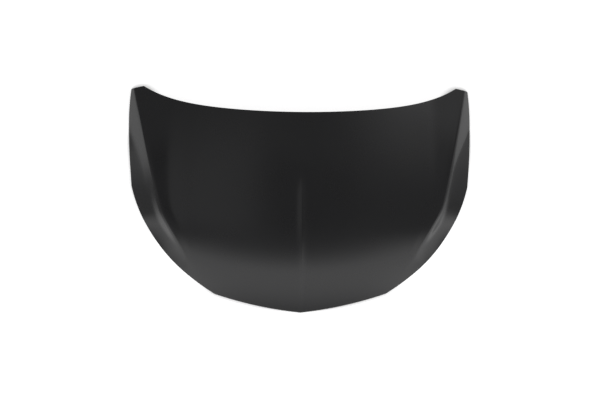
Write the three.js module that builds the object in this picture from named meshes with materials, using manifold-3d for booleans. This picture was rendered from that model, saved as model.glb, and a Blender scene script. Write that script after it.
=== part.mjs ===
// Car bonnet for a small hatchback: a steel outer skin hemmed round a pressed inner panel,
// with hinge and latch reinforcements, a welded striker and beads of mastic between the sheets.
// Millimetres. X runs across the car, -Y is the nose, +Y the windscreen edge, +Z the outer face.
// The bonnet lies as it comes to rest: on its nose tip and its two rear outer corners.
import * as THREE from "three";
import Module from "manifold-3d";
import { mergeVertices } from "three/addons/utils/BufferGeometryUtils.js";

const wasm = await Module();
wasm.setup();

// Outline in plan, right half
const bonnetLength = 960.3; // nose tip to the line through the two rear tips
const rearHalfWidth = 720.6; // centre line to a rear outer corner
const rearTipInset = 55.5; // outer corner to rear tip, across
const rearTipLead = 10.9; // outer corner to rear tip, along
const rearBow = 115.1; // how far the windscreen edge bows forward of its tips
const rearBowEven = 0.572; // share of that bow which is a plain parabola
const kinkHalfWidth = 363.6; // centre line to the inner end of the headlamp edge
const kinkSetback = 81.5; // nose tip to that end, along
const noseSweep = 0.11; // slope of the nose edge at the tip
const lampCornerInset = 6.7; // outer end of the headlamp edge, inside the rear corner
const lampCornerSetback = 536.9; // nose tip to that end, along
const lampStart = { length: 315.9, angle: 33.4 }; // tangents of the headlamp edge
const lampEnd = { length: 97.4, angle: 76.4 };
const fenderStart = { length: 147.8, angle: 86.3 }; // tangents of the fender edge
const fenderEnd = { length: 136.7, angle: 98.4 };

// Form of the outer skin
const crownHeight = 117; // top of the dome over the nose tip
const apexSetback = 420; // nose tip to the top of the dome
const rearDrop = 32.1; // fall of the centre line from the apex to the windscreen edge
const noseDrop = 85; // extra fall of the nose
const noseRoll = 2.6; // exponent of that fall: higher is flatter behind the nose
const noseRollSweep = 63; // how far back the roll starts at the reference half width
const noseRollWidth = 463;
const crownAcross = 45; // fall of the dome at the reference half width
const crownWidth = 700;
const crownRear = 20; // more of it towards the windscreen
const crownRearStart = 537;
const crownRearRun = 400;
const creaseBend = { inset: 140.8, setback: 423.5, radius: 33 }; // where the shoulder crease turns
const creaseFrontSlope = 0.593; // its run towards the centre line, per mm, ahead of the bend
const creaseRearSlope = 0.225; // and behind it
const creaseRadius = 6;
const shoulderFall = 0.78; // slope of the steep facet outside the crease
const fenderFall = 0.4; // slope of the facet outside that
const facetWidth = 25; // width of the steep facet
const facetRearGain = 40; // it widens by this towards the rear
const facetGainStart = 600;
const facetGainRun = 250;
const creaseFadeEnd = 160; // the crease is gone this far behind the nose tip
const creaseFadeStart = 380; // and full from here
const shoulderRise = 2; // soft roll inside the crease
const shoulderRollWidth = 70;
const ridgeStart = 122; // a low ridge leaves the crease here, behind the nose tip
const ridgeSpread = 0.16; // and moves away from it by this per mm
const ridgeWidth = 0.5; // share of its distance from the crease
const ridgeRise = 0.035; // share of its width
const spineSlope = 0.088; // flanks of the raised line along the middle
const spineHalfWidth = 30;
const spineStart = 625; // it dies out towards the windscreen here
const spineFull = 480;

// Sheets and hem
const skinThickness = 0.7;
const panelThickness = 0.6;
const sheetGap = 0.3; // between sheets that lie against each other
const hemWidth = 11;
const foldInset = 1.2; // where the skin starts to turn over
const flangeWidth = 14; // band where the two sheets lie together
const flangeClearance = 1.2; // edge of the inner panel to the inside of the fold

// Pressed form of the inner panel
const noseBorder = 150; // outline to the inside of the border channel
const sideBorder = 118;
const rearBorder = 120;
const channelDepth = 21; // below the flange
const channelFootDrop = 5; // least depth at the foot of its outer wall
const fieldDepth = 5;
const ribDepth = 17;
const channelShares = [0.1, 0.5, 0.88]; // foot of the outer wall, middle, foot of the inner wall

// Hinge seats, latch seat and striker
const hingeSeatClearance = 5; // least height between the seat and the skin
const hingePlate = { length: 60, width: 26, thickness: 1.8, corner: 6 };
const hingeHolePitch = 36;
const hingeHoleRadius = 4.5;
const hingeNut = { across: 15, height: 7 };
const latchSeatDepth = 13; // below the skin at the seat's front edge
const latchPlate = { length: 32, width: 88, thickness: 1.5, corner: 6 };
const strikerPlate = { length: 40, width: 50, thickness: 3, corner: 8 };
const strikerRod = 8; // diameter
const strikerReach = 30; // underside of the plate to the far side of the rod
const strikerSpan = 30; // between the middles of its legs
const strikerBend = 9; // radius of the rod's middle line
const propHole = { x: 455, setback: 215, radius: 7 };

// Windows in the inner panel, and mastic beads over its fields
const windowMargin = 0.028;
const windowPoints = 5; // on each rounded corner
const windowCorner = 0.36; // share of the half side
const beadRadius = 11;
const beadClearance = 0.3;

// Mesh lines
const innerColumns = 12; // centre line to crease
const bandColumns = 3; // crease to outline
const halfColumns = innerColumns + bandColumns;
const creaseFoot = 0.88; // the crease column starts at this share of the nose edge
const rows = [
  0, 0.055, 0.11, 0.165, 0.22, 0.275, 0.33, 0.385, 0.425, 0.445, 0.525, 0.545,
  0.6, 0.655, 0.71, 0.765, 0.82, 0.87, 0.92, 0.96, 1,
];
const crossRibRows = [9, 10]; // its floor lies between these rows
const lampRow = rows[11]; // the row that ends on the outer end of the headlamp edge
const ribColumns = [
  0, 0.055, 0.082, 0.165, 0.25, 0.338, 0.365, 0.475, 0.502, 0.6, 0.7, 0.725,
  0.83, 0.855, 0.93, 1,
];
const ribFloors = [[-1, 1], [6, 7], [11, 12]]; // first and last column of each rib's floor

const noseY = -bonnetLength / 2;
const tipY = bonnetLength / 2;
const rearCentreY = tipY - rearBow;
const apexY = noseY + apexSetback;
const tipX = rearHalfWidth - rearTipInset;
const noseTip = [0, noseY];
const kink = [kinkHalfWidth, noseY + kinkSetback];
const lampCorner = [rearHalfWidth - lampCornerInset, noseY + lampCornerSetback];
const outerCorner = [rearHalfWidth, tipY - rearTipLead];
const rearTip = [tipX, tipY];
const rearCentre = [0, rearCentreY];

const mix = (a, b, t) => a + (b - a) * t;
const mixPoint = (p, q, t) => p.map((a, k) => mix(a, q[k], t));
const smooth = (from, to, value) =>
  THREE.MathUtils.smoothstep(value, from, to);

function bezier(start, leave, arrive, end) {
  const step = (t) => {
    const angle = THREE.MathUtils.degToRad(t.angle);
    return [t.length * Math.cos(angle), t.length * Math.sin(angle)];
  };
  const [ax, ay] = step(leave);
  const [bx, by] = step(arrive);
  const curve = new THREE.CubicBezierCurve(
    new THREE.Vector2(...start),
    new THREE.Vector2(start[0] + ax, start[1] + ay),
    new THREE.Vector2(end[0] - bx, end[1] - by),
    new THREE.Vector2(...end),
  );
  return (t) => curve.getPointAt(THREE.MathUtils.clamp(t, 0, 1)).toArray();
}

const noseBend = (kinkSetback - noseSweep * kinkHalfWidth) / kinkHalfWidth ** 2;

function noseEdge(t) {
  const x = kinkHalfWidth * t;
  return [x, noseY + noseSweep * x + noseBend * x * x];
}

function rearEdgeY(x) {
  const u = x / tipX;
  return rearCentreY + rearBow * (rearBowEven * u ** 2 + (1 - rearBowEven) * u ** 6);
}

// The outline of the right half, counter-clockwise, as edges from corner to corner.
const edges = {
  nose: { at: noseEdge, from: noseTip, to: kink },
  lamp: { at: bezier(kink, lampStart, lampEnd, lampCorner), from: kink, to: lampCorner },
  fender: {
    at: bezier(lampCorner, fenderStart, fenderEnd, outerCorner),
    from: lampCorner,
    to: outerCorner,
  },
  chamfer: { at: (t) => mixPoint(outerCorner, rearTip, t), from: outerCorner, to: rearTip },
  rear: {
    at: (t) => [tipX * (1 - t), rearEdgeY(tipX * (1 - t))],
    from: rearTip,
    to: rearCentre,
  },
};
const edgeOrder = ["nose", "lamp", "fender", "chamfer", "rear"];

function inwardNormal(edge, t) {
  const step = 1e-3;
  const [ax, ay] = edge.at(Math.max(t - step, 0));
  const [bx, by] = edge.at(Math.min(t + step, 1));
  const length = Math.hypot(bx - ax, by - ay);
  return [-(by - ay) / length, (bx - ax) / length];
}

const mirrored = ([x, y]) => [-x, y];

// Corner of the outline moved inwards, so that it stays this far from both its edges.
function insetCorner(name, atEnd, distance) {
  const k = edgeOrder.indexOf(name) + (atEnd ? 1 : -1);
  const own = inwardNormal(edges[name], atEnd ? 1 : 0);
  const other = edgeOrder[k]
    ? inwardNormal(edges[edgeOrder[k]], atEnd ? 0 : 1)
    : mirrored(own);
  const scale = distance / (1 + own[0] * other[0] + own[1] * other[1]);
  const corner = atEnd ? edges[name].to : edges[name].from;
  return corner.map((c, axis) => c + scale * (own[axis] + other[axis]));
}

// Point at share t of an edge that is moved inwards, slid so that its ends meet the corners.
function insetPoint(name, t, distance) {
  const edge = edges[name];
  const moved = (u) => {
    const normal = inwardNormal(edge, u);
    return edge.at(u).map((c, axis) => c + distance * normal[axis]);
  };
  const start = insetCorner(name, false, distance);
  const end = insetCorner(name, true, distance);
  const first = moved(0);
  const last = moved(1);
  return moved(t).map(
    (c, k) => c + mix(start[k] - first[k], end[k] - last[k], t),
  );
}

// Half width of the shoulder crease at y.
function creaseX(y) {
  const along = y - (noseY + creaseBend.setback);
  const mean = (creaseFrontSlope + creaseRearSlope) / 2;
  const half = (creaseFrontSlope - creaseRearSlope) / 2;
  const turn = Math.hypot(along, creaseBend.radius) - creaseBend.radius;
  return rearHalfWidth - creaseBend.inset + mean * along - half * turn;
}

function ramp(distance, radius) {
  return (distance + Math.hypot(distance, radius)) / 2;
}

function shoulder(ax, y) {
  const slope = creaseX(y + 1) - creaseX(y);
  const outside = (ax - creaseX(y)) / Math.hypot(1, slope);
  const gain = smooth(noseY + facetGainStart, noseY + facetGainStart + facetGainRun, y);
  const width = facetWidth + facetRearGain * gain;
  const steep = shoulderFall * ramp(outside, creaseRadius);
  const eased = (shoulderFall - fenderFall) * ramp(outside - width, 2 * creaseRadius);
  const roll = shoulderRise * Math.exp(-((outside / shoulderRollWidth) ** 2));
  const ridgeInset = ridgeSpread * ramp(y - noseY - ridgeStart, 60);
  const ridgeSide = ridgeWidth * ridgeInset;
  const ridge = ridgeRise * ridgeSide * Math.exp(-(((outside + ridgeInset) / ridgeSide) ** 2));
  const fade = smooth(noseY + creaseFadeEnd, noseY + creaseFadeStart, y);
  return (roll + ridge - steep + eased) * fade;
}

function formHeight(x, y) {
  const ax = Math.abs(x);
  const rollStart = apexY + noseRollSweep * (ax / noseRollWidth) ** 2;
  const roll = Math.max(rollStart - y, 0) / apexSetback;
  const behind = Math.max(y - noseY - crownRearStart, 0) / crownRearRun;
  const crown = (crownAcross + crownRear * behind ** 2) * (ax / crownWidth) ** 2;
  const spine =
    spineSlope *
    ramp(spineHalfWidth - Math.hypot(x, 2), 12) *
    (1 - smooth(noseY + spineFull, noseY + spineStart, y));
  return (
    crownHeight -
    rearDrop * ((y - apexY) / (rearCentreY - apexY)) ** 2 -
    noseDrop * roll ** noseRoll -
    crown +
    spine +
    shoulder(ax, y)
  );
}

// Tips the form so that the nose tip and the rear outer corners are on one level.
const tip =
  (formHeight(...outerCorner) - formHeight(...noseTip)) / (outerCorner[1] - noseY);
const skinHeight = (x, y) => formHeight(x, y) - tip * (y - noseY);

function skinNormal(x, y) {
  const step = 0.5;
  return new THREE.Vector3(
    (skinHeight(x - step, y) - skinHeight(x + step, y)) / (2 * step),
    (skinHeight(x, y - step) - skinHeight(x, y + step)) / (2 * step),
    1,
  ).normalize();
}

// Point of a sheet that follows the skin: sunk square to it by offset, then straight down.
function underSkin([x, y], offset, drop = 0) {
  const point = new THREE.Vector3(x, y, skinHeight(x, y) - drop);
  return point.addScaledVector(skinNormal(x, y), -offset);
}

// Shares of the rear chamfer at which the crease meets it.
function creaseShare(distance) {
  const [x, y] = insetPoint("chamfer", 0, distance);
  const end = insetPoint("chamfer", 1, distance);
  let share = 0;
  for (let k = 0; k < 4; k++) {
    const at = creaseX(mix(y, end[1], share));
    share = THREE.MathUtils.clamp((x - at) / (x - end[0]), 0.05, 0.9);
  }
  return share;
}

function nosePoint(i, distance) {
  const share =
    i <= innerColumns
      ? (creaseFoot * i) / innerColumns
      : mix(creaseFoot, 1, (i - innerColumns) / bandColumns);
  return insetPoint("nose", share, distance);
}

function rearPoint(i, distance) {
  if (i < innerColumns) return insetPoint("rear", 1 - i / (innerColumns - 1), distance);
  const share = creaseShare(distance) * (1 - (i - innerColumns) / bandColumns);
  return insetPoint("chamfer", share, distance);
}

function sidePoint(v, distance) {
  return v < lampRow
    ? insetPoint("lamp", v / lampRow, distance)
    : insetPoint("fender", (v - lampRow) / (1 - lampRow), distance);
}

const columnSide = (i, point) => (i < 0 ? mirrored(point) : point);

// Point of the outline moved inwards, at a column and row on the edge of the mesh.
function outlinePoint(i, j, distance) {
  const column = Math.abs(i);
  if (j === 0) return columnSide(i, nosePoint(column, distance));
  if (j === rows.length - 1) return columnSide(i, rearPoint(column, distance));
  return columnSide(i, sidePoint(rows[j], distance));
}

// Patch between four edges, each a function of a share from 0 to 1.
function patch(bottom, top, left, right) {
  return (s, v) => {
    const across = mixPoint(left(v), right(v), s);
    const along = mixPoint(bottom(s), top(s), v);
    const corners = mixPoint(
      mixPoint(bottom(0), bottom(1), s),
      mixPoint(top(0), top(1), s),
      v,
    );
    return across.map((c, k) => c + along[k] - corners[k]);
  };
}

// Column of the skin's mesh that lies on the crease, from the nose edge to the chamfer.
function creaseColumn(v) {
  const [footX, footY] = nosePoint(innerColumns, flangeWidth);
  const endY = rearPoint(innerColumns, flangeWidth)[1];
  const y = mix(footY, endY, v);
  const away = (creaseX(footY) - footX) * (1 - smooth(0, 0.3, v));
  return [creaseX(y) - away, y];
}

const centreLine = (v) => [
  0,
  mix(nosePoint(0, flangeWidth)[1], rearPoint(0, flangeWidth)[1], v),
];
const domePatch = patch(
  (s) => nosePoint(s * innerColumns, flangeWidth),
  (s) => rearPoint(s * innerColumns, flangeWidth),
  centreLine,
  creaseColumn,
);
const bandPatch = patch(
  (s) => nosePoint(innerColumns + s * bandColumns, flangeWidth),
  (s) => rearPoint(innerColumns + s * bandColumns, flangeWidth),
  creaseColumn,
  (v) => sidePoint(v, flangeWidth),
);

function skinPlan(i, j) {
  const column = Math.abs(i);
  const point =
    column <= innerColumns
      ? domePatch(column / innerColumns, rows[j])
      : bandPatch((column - innerColumns) / bandColumns, rows[j]);
  return columnSide(i, point);
}

// Inside of the inner panel's border channel.
function borderNose(s) {
  return insetPoint("nose", s, noseBorder);
}
const borderCorner = (() => {
  const x = outerCorner[0] - sideBorder;
  const slope = rearEdgeY(x + 1) - rearEdgeY(x);
  return [x, rearEdgeY(x) - rearBorder * Math.hypot(1, slope)];
})();
function borderRear(s) {
  const x = borderCorner[0] * s;
  const slope = rearEdgeY(x + 1) - rearEdgeY(x);
  return [x, rearEdgeY(x) - rearBorder * Math.hypot(1, slope)];
}
function borderSide(v) {
  const start = insetPoint("nose", 1, noseBorder);
  const turn = insetPoint("fender", 0, sideBorder);
  if (v >= lampRow) {
    const share = (v - lampRow) / (1 - lampRow);
    return mixPoint(turn, borderCorner, share);
  }
  const share = v / lampRow;
  const along = mix(noseBorder, sideBorder, smooth(0, 1, share));
  const moved = (u) => insetPoint("lamp", u, along);
  const slide = mixPoint(
    start.map((c, k) => c - moved(0)[k]),
    turn.map((c, k) => c - moved(1)[k]),
    share,
  );
  return moved(share).map((c, k) => c + slide[k]);
}
const fieldPatch = patch(
  borderNose,
  borderRear,
  (v) => [0, mix(borderNose(0)[1], borderRear(0)[1], v)],
  borderSide,
);
const fieldPlan = (i, j) =>
  columnSide(i, fieldPatch(ribColumns[Math.abs(i)], rows[j]));

function isRib(i, j) {
  const column = Math.abs(i);
  const onCross = crossRibRows[0] <= j && j <= crossRibRows[1];
  return onCross || ribFloors.some(([from, to]) => from <= column && column <= to);
}

// An open sheet of triangles, its outer side up, which is then given its thickness.
class Sheet {
  points = [];
  triangles = [];

  add(point) {
    this.points.push(point);
    return this.points.length - 1;
  }

  quad(a, b, c, d) {
    const [p, q, r, s] = [a, b, c, d].map((k) => this.points[k]);
    if (p.distanceTo(r) <= q.distanceTo(s)) this.triangles.push([a, b, c], [a, c, d]);
    else this.triangles.push([a, b, d], [b, c, d]);
  }

  // Vertex normals, longer where faces meet at an angle so that walls keep their thickness.
  normals() {
    const faces = this.triangles.map((face) => {
      const [a, b, c] = face.map((k) => this.points[k]);
      const ab = b.clone().sub(a);
      return ab.cross(c.clone().sub(a));
    });
    const sums = this.points.map(() => new THREE.Vector3());
    this.triangles.forEach((face, f) => face.forEach((k) => sums[k].add(faces[f])));
    sums.forEach((sum) => sum.normalize());
    const shares = this.points.map(() => [0, 0]);
    this.triangles.forEach((face, f) =>
      face.forEach((k) => {
        shares[k][0] += faces[f].dot(sums[k]);
        shares[k][1] += faces[f].length();
      }),
    );
    return sums.map((sum, k) =>
      this.points[k].level
        ? new THREE.Vector3(0, 0, 1)
        : sum.multiplyScalar(shares[k][1] / shares[k][0]),
    );
  }

  geometry(thickness) {
    const count = this.points.length;
    const inner = this.normals().map((normal, k) =>
      this.points[k].clone().addScaledVector(normal, -thickness),
    );
    const faces = this.triangles.flatMap(([a, b, c]) => [
      [a, b, c],
      [a + count, c + count, b + count],
    ]);
    const directed = new Set(
      this.triangles.flatMap(([a, b, c]) => [`${a} ${b}`, `${b} ${c}`, `${c} ${a}`]),
    );
    for (const edge of directed) {
      const [a, b] = edge.split(" ").map(Number);
      if (directed.has(`${b} ${a}`)) continue;
      faces.push([b, a, a + count], [b, a + count, b + count]);
    }
    const geometry = new THREE.BufferGeometry().setFromPoints([...this.points, ...inner]);
    geometry.setIndex(faces.flat());
    return geometry;
  }
}

// Columns and rows round the edge of the mesh, counter-clockwise from the left of the nose.
function perimeter() {
  const lastRow = rows.length - 1;
  const loop = [];
  for (let i = -halfColumns; i < halfColumns; i++) loop.push([i, 0]);
  for (let j = 0; j < lastRow; j++) loop.push([halfColumns, j]);
  for (let i = halfColumns; i > -halfColumns; i--) loop.push([i, lastRow]);
  for (let j = lastRow; j > 0; j--) loop.push([-halfColumns, j]);
  return loop;
}

// A sheet from its inner grid and the rings that carry it on past the grid's edge.
function sheetGeometry(gridPoint, rings, thickness) {
  const sheet = new Sheet();
  const index = new Map();
  for (let j = 0; j < rows.length; j++)
    for (let i = -halfColumns; i <= halfColumns; i++)
      index.set(`${i} ${j}`, sheet.add(gridPoint(i, j)));
  for (let j = 1; j < rows.length; j++)
    for (let i = -halfColumns + 1; i <= halfColumns; i++)
      sheet.quad(
        index.get(`${i - 1} ${j - 1}`),
        index.get(`${i} ${j - 1}`),
        index.get(`${i} ${j}`),
        index.get(`${i - 1} ${j}`),
      );
  const loop = perimeter();
  let last = loop.map(([i, j]) => index.get(`${i} ${j}`));
  for (const ring of rings) {
    const next = loop.map(([i, j]) => sheet.add(ring(i, j)));
    loop.forEach((_, k) => {
      const after = (k + 1) % loop.length;
      sheet.quad(next[k], next[after], last[after], last[k]);
    });
    last = next;
  }
  return sheet.geometry(thickness);
}

function toSolid(geometry) {
  const bare = geometry.clone();
  bare.deleteAttribute("normal");
  bare.deleteAttribute("uv");
  const merged = mergeVertices(bare, 1e-4);
  return new wasm.Manifold(
    new wasm.Mesh({
      numProp: 3,
      vertProperties: new Float32Array(merged.attributes.position.array),
      triVerts: new Uint32Array(merged.index.array),
    }),
  );
}

function toGeometry(solid) {
  const { vertProperties, triVerts } = solid.getMesh();
  const geometry = new THREE.BufferGeometry();
  geometry.setAttribute("position", new THREE.BufferAttribute(vertProperties, 3));
  geometry.setIndex(new THREE.BufferAttribute(triVerts, 1));
  return geometry;
}

function cut(geometry, cutters) {
  return toGeometry(
    cutters.reduce((solid, cutter) => solid.subtract(toSolid(cutter)), toSolid(geometry)),
  );
}

const bonnet = new THREE.Group();
bonnet.name = "bonnet";

const eCoat = new THREE.MeshStandardMaterial({
  color: 0x24252a,
  roughness: 0.32,
  metalness: 0,
});
const eCoatInside = new THREE.MeshStandardMaterial({
  color: 0x202125,
  roughness: 0.5,
  metalness: 0,
});
const eCoatParts = new THREE.MeshStandardMaterial({
  color: 0x1b1c1f,
  roughness: 0.45,
  metalness: 0,
});
const mastic = new THREE.MeshStandardMaterial({ color: 0x3b3b3d, roughness: 0.9 });

function addPiece(name, geometry, material, x = 0, y = 0, z = 0) {
  const mesh = new THREE.Mesh(geometry, material);
  mesh.name = name;
  mesh.position.set(x, y, z);
  bonnet.add(mesh);
  return mesh;
}

const hemThickness = 2 * skinThickness + panelThickness + 2 * sheetGap;

// Outer skin: the dome, then the fold round the inner panel's edge and the hem under it.
function addOuterSkin() {
  const foldRise = hemThickness / 3;
  const section = [
    [foldInset, 0],
    [0, foldRise],
    [0, hemThickness - foldRise],
    [foldInset, hemThickness],
    [hemWidth, hemThickness],
  ];
  const rings = section.map(
    ([inset, depth]) =>
      (i, j) =>
        underSkin(outlinePoint(i, j, inset), depth),
  );
  const grid = (i, j) => underSkin(skinPlan(i, j), 0);
  addPiece("outer_skin", sheetGeometry(grid, rings, skinThickness), eCoat);
}

const flangeOffset = skinThickness + sheetGap;

// Flat seats pressed into the border channel.
const hingeSeatRows = [16, 17, 18, 19];
const latchSeatColumn = 3;

function channelPlan(i, j, share) {
  return mixPoint(outlinePoint(i, j, flangeWidth), fieldPlan(i, j), share);
}

const hingeSeatEdge = hingeSeatRows.flatMap((j) =>
  channelShares.slice(1).map((share) => channelPlan(halfColumns, j, share)),
);
const hingeSeatZ =
  Math.min(...hingeSeatEdge.map((plan) => skinHeight(...plan))) - hingeSeatClearance;
const hingeSeatMiddle = [0, 1].map(
  (axis) => hingeSeatEdge.reduce((sum, plan) => sum + plan[axis], 0) / hingeSeatEdge.length,
);
const latchSeatZ = skinHeight(...channelPlan(0, 0, channelShares[1])) - latchSeatDepth;

// Point of a flat, level seat, whose two faces stay parallel.
const seatPoint = ([x, y], z) => Object.assign(new THREE.Vector3(x, y, z), { level: true });

// Inner panel's upper face in the border channel.
function channelPoint(i, j, share) {
  const plan = channelPlan(i, j, share);
  const onSide = Math.abs(i) === halfColumns && hingeSeatRows.includes(j);
  const onNose = j === 0 && Math.abs(i) <= latchSeatColumn;
  const inSeat = share >= channelShares[1];
  if (onSide && inSeat) return seatPoint(plan, hingeSeatZ);
  if (onNose && inSeat) return seatPoint(plan, latchSeatZ);
  if (inSeat) return underSkin(plan, flangeOffset, channelDepth);
  const floor = skinHeight(...channelPlan(i, j, channelShares[1])) - channelDepth;
  const drop = skinHeight(...plan) - floor;
  return underSkin(
    plan,
    flangeOffset,
    THREE.MathUtils.clamp(drop, channelFootDrop, channelDepth),
  );
}

function fieldPoint(i, j) {
  const drop = isRib(i, j) ? ribDepth : fieldDepth;
  return underSkin(fieldPlan(i, j), flangeOffset, drop);
}

const upright = (shape, height) =>
  new THREE.ExtrudeGeometry(shape, { depth: height, bevelEnabled: false, steps: 1 });

const aboveAll = 2 * crownHeight;

function roundCutter(x, y, radius) {
  const bar = new THREE.CylinderGeometry(radius, radius, 2 * aboveAll, 12);
  return bar.rotateX(Math.PI / 2).translate(x, y, 0);
}

// Rounded window between two ribs, its corners given as shares of the field.
function windowCutter(s0, s1, v0, v1) {
  const points = [];
  const corners = [[1, 1], [-1, 1], [-1, -1], [1, -1]];
  corners.forEach(([sx, sy], quarter) => {
    for (let k = 0; k < windowPoints; k++) {
      const angle = (Math.PI / 2) * (quarter + k / (windowPoints - 1));
      const a = sx * (1 - windowCorner) + windowCorner * Math.cos(angle);
      const b = sy * (1 - windowCorner) + windowCorner * Math.sin(angle);
      const s = mix(s0, s1, (a + 1) / 2);
      const v = mix(v0, v1, (b + 1) / 2);
      points.push(new THREE.Vector2(...fieldPatch(s, v)));
    }
  });
  return upright(new THREE.Shape(points), 2 * aboveAll).translate(0, 0, -aboveAll);
}

const mirrorCutter = (cutter) => {
  const flipped = cutter.clone().scale(-1, 1, 1);
  const source = flipped.index ? flipped.toNonIndexed() : flipped;
  const position = source.attributes.position;
  const corners = [];
  for (let k = 0; k < position.count; k += 3)
    for (const n of [k, k + 2, k + 1])
      corners.push(new THREE.Vector3().fromBufferAttribute(position, n));
  return new THREE.BufferGeometry().setFromPoints(corners);
};

// Fields between the ribs, as [first column, last column] of the flat strip.
const fieldStrips = [[2, 5], [8, 10]];
const windowRuns = [
  [0.02, 0.2],
  [0.235, 0.405],
  [0.565, 0.71],
  [0.745, 0.86],
];

function windows() {
  const cutters = [];
  for (const [from, to] of fieldStrips)
    for (const [v0, v1] of windowRuns) {
      const s0 = ribColumns[from] + windowMargin;
      const s1 = ribColumns[to] - windowMargin;
      const right = windowCutter(s0, s1, v0, v1);
      cutters.push(right, mirrorCutter(right));
    }
  return cutters;
}

const [hingePlateX, hingePlateY] = hingeSeatMiddle;
const hingeHoles = [-1, 1].flatMap((side) =>
  [-1, 1].map((end) => [side * hingePlateX, hingePlateY + (end * hingeHolePitch) / 2]),
);

function addInnerPanel() {
  const edgeInset = skinThickness + flangeClearance;
  const rings = [
    ...[...channelShares].reverse().map((share) => (i, j) => channelPoint(i, j, share)),
    (i, j) => underSkin(outlinePoint(i, j, flangeWidth), flangeOffset),
    (i, j) => underSkin(outlinePoint(i, j, edgeInset), flangeOffset),
  ];
  const pressed = sheetGeometry(fieldPoint, rings, panelThickness);
  const cutters = [
    ...windows(),
    ...hingeHoles.map(([x, y]) => roundCutter(x, y, hingeHoleRadius)),
    roundCutter(propHole.x, noseY + propHole.setback, propHole.radius),
  ];
  addPiece("inner_panel", cut(pressed, cutters), eCoatInside);
}

function roundedPlate({ length, width, corner }, holes = [], holeRadius = 0) {
  const [hx, hy] = [width / 2, length / 2];
  const shape = new THREE.Shape();
  shape.moveTo(hx, -hy + corner);
  shape.absarc(hx - corner, hy - corner, corner, 0, Math.PI / 2);
  shape.absarc(-hx + corner, hy - corner, corner, Math.PI / 2, Math.PI);
  shape.absarc(-hx + corner, -hy + corner, corner, Math.PI, 1.5 * Math.PI);
  shape.absarc(hx - corner, -hy + corner, corner, 1.5 * Math.PI, 2 * Math.PI);
  for (const [x, y] of holes)
    shape.holes.push(new THREE.Path().absarc(x, y, holeRadius, 0, 2 * Math.PI, true));
  return shape;
}

function plateGeometry(plate, holes, holeRadius) {
  return new THREE.ExtrudeGeometry(roundedPlate(plate, holes, holeRadius), {
    depth: plate.thickness,
    bevelEnabled: false,
    curveSegments: 4,
    steps: 1,
  });
}

function hexNut({ across, height }, boreRadius) {
  const shape = new THREE.Shape();
  for (let k = 0; k < 6; k++) {
    const angle = (k * Math.PI) / 3;
    const reach = across / Math.sqrt(3);
    const method = k ? "lineTo" : "moveTo";
    shape[method](reach * Math.cos(angle), reach * Math.sin(angle));
  }
  shape.closePath();
  shape.holes.push(new THREE.Path().absarc(0, 0, boreRadius, 0, 2 * Math.PI, true));
  return new THREE.ExtrudeGeometry(shape, {
    depth: height,
    bevelEnabled: false,
    curveSegments: 6,
    steps: 1,
  });
}

function addHingeParts() {
  const plateZ = hingeSeatZ + sheetGap;
  const nutZ = plateZ + hingePlate.thickness + sheetGap;
  const pitch = [-1, 1].map((end) => [0, (end * hingeHolePitch) / 2]);
  for (const [side, sign] of [["left", -1], ["right", 1]]) {
    addPiece(
      `hinge_reinforcement_${side}`,
      plateGeometry(hingePlate, pitch, hingeHoleRadius),
      eCoatParts,
      sign * hingePlateX,
      hingePlateY,
      plateZ,
    );
    for (const [place, end] of [["front", -1], ["rear", 1]])
      addPiece(
        `hinge_weld_nut_${side}_${place}`,
        hexNut(hingeNut, hingeHoleRadius - 0.5),
        eCoatParts,
        sign * hingePlateX,
        hingePlateY + (end * hingeHolePitch) / 2,
        nutZ,
      );
  }
}

// Striker: a bent rod on a plate under the latch seat, with a stiffening plate above the seat.
function addLatchParts() {
  const [front, rear] = channelShares.slice(1).map((share) => channelPlan(0, 0, share)[1]);
  const y = (front + rear) / 2;
  addPiece(
    "latch_reinforcement",
    plateGeometry(latchPlate),
    eCoatParts,
    0,
    y,
    latchSeatZ + sheetGap,
  );
  const plateZ = latchSeatZ - panelThickness - sheetGap - strikerPlate.thickness;
  addPiece("striker_plate", plateGeometry(strikerPlate), eCoatParts, 0, y, plateZ);
  addPiece("striker_loop", rodGeometry(loopPath(), strikerRod / 2), eCoatParts, 0, y, plateZ);
}

// Middle line of the striker's rod: down one leg, round two bends and up the other leg.
function loopPath() {
  const at = (y, z) => new THREE.Vector3(0, y, z);
  const low = strikerRod / 2 - strikerReach;
  const turn = low + strikerBend;
  const leg = strikerSpan / 2;
  const inner = leg - strikerBend;
  const path = new THREE.CurvePath();
  path.add(new THREE.LineCurve3(at(-leg, -sheetGap), at(-leg, turn)));
  path.add(quarterTurn(at(-leg, turn), at(-leg, low), at(-inner, low)));
  path.add(new THREE.LineCurve3(at(-inner, low), at(inner, low)));
  path.add(quarterTurn(at(inner, low), at(leg, low), at(leg, turn)));
  path.add(new THREE.LineCurve3(at(leg, turn), at(leg, -sheetGap)));
  return path;
}

// Quarter turn as a cubic with the handle length that best fits an arc.
function quarterTurn(from, corner, to) {
  const handle = 0.5523;
  return new THREE.CubicBezierCurve3(
    from,
    from.clone().lerp(corner, handle),
    to.clone().lerp(corner, handle),
    to,
  );
}

function rodGeometry(path, radius) {
  const section = new THREE.Shape();
  section.absarc(0, 0, radius, 0, 2 * Math.PI);
  return new THREE.ExtrudeGeometry(section, {
    extrudePath: path,
    steps: 28,
    curveSegments: 5,
    bevelEnabled: false,
  });
}

// Mastic beads in the fields between the windows and beside them, as [column, row].
const beadPlaces = [[3.5, 3.85], [3.5, 7.5], [9, 3.85], [9, 7.5], [3.5, 14.35], [9, 14.35]];

function between(list, place) {
  const k = Math.floor(place);
  return mix(list[k], list[Math.min(k + 1, list.length - 1)], place - k);
}

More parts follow.
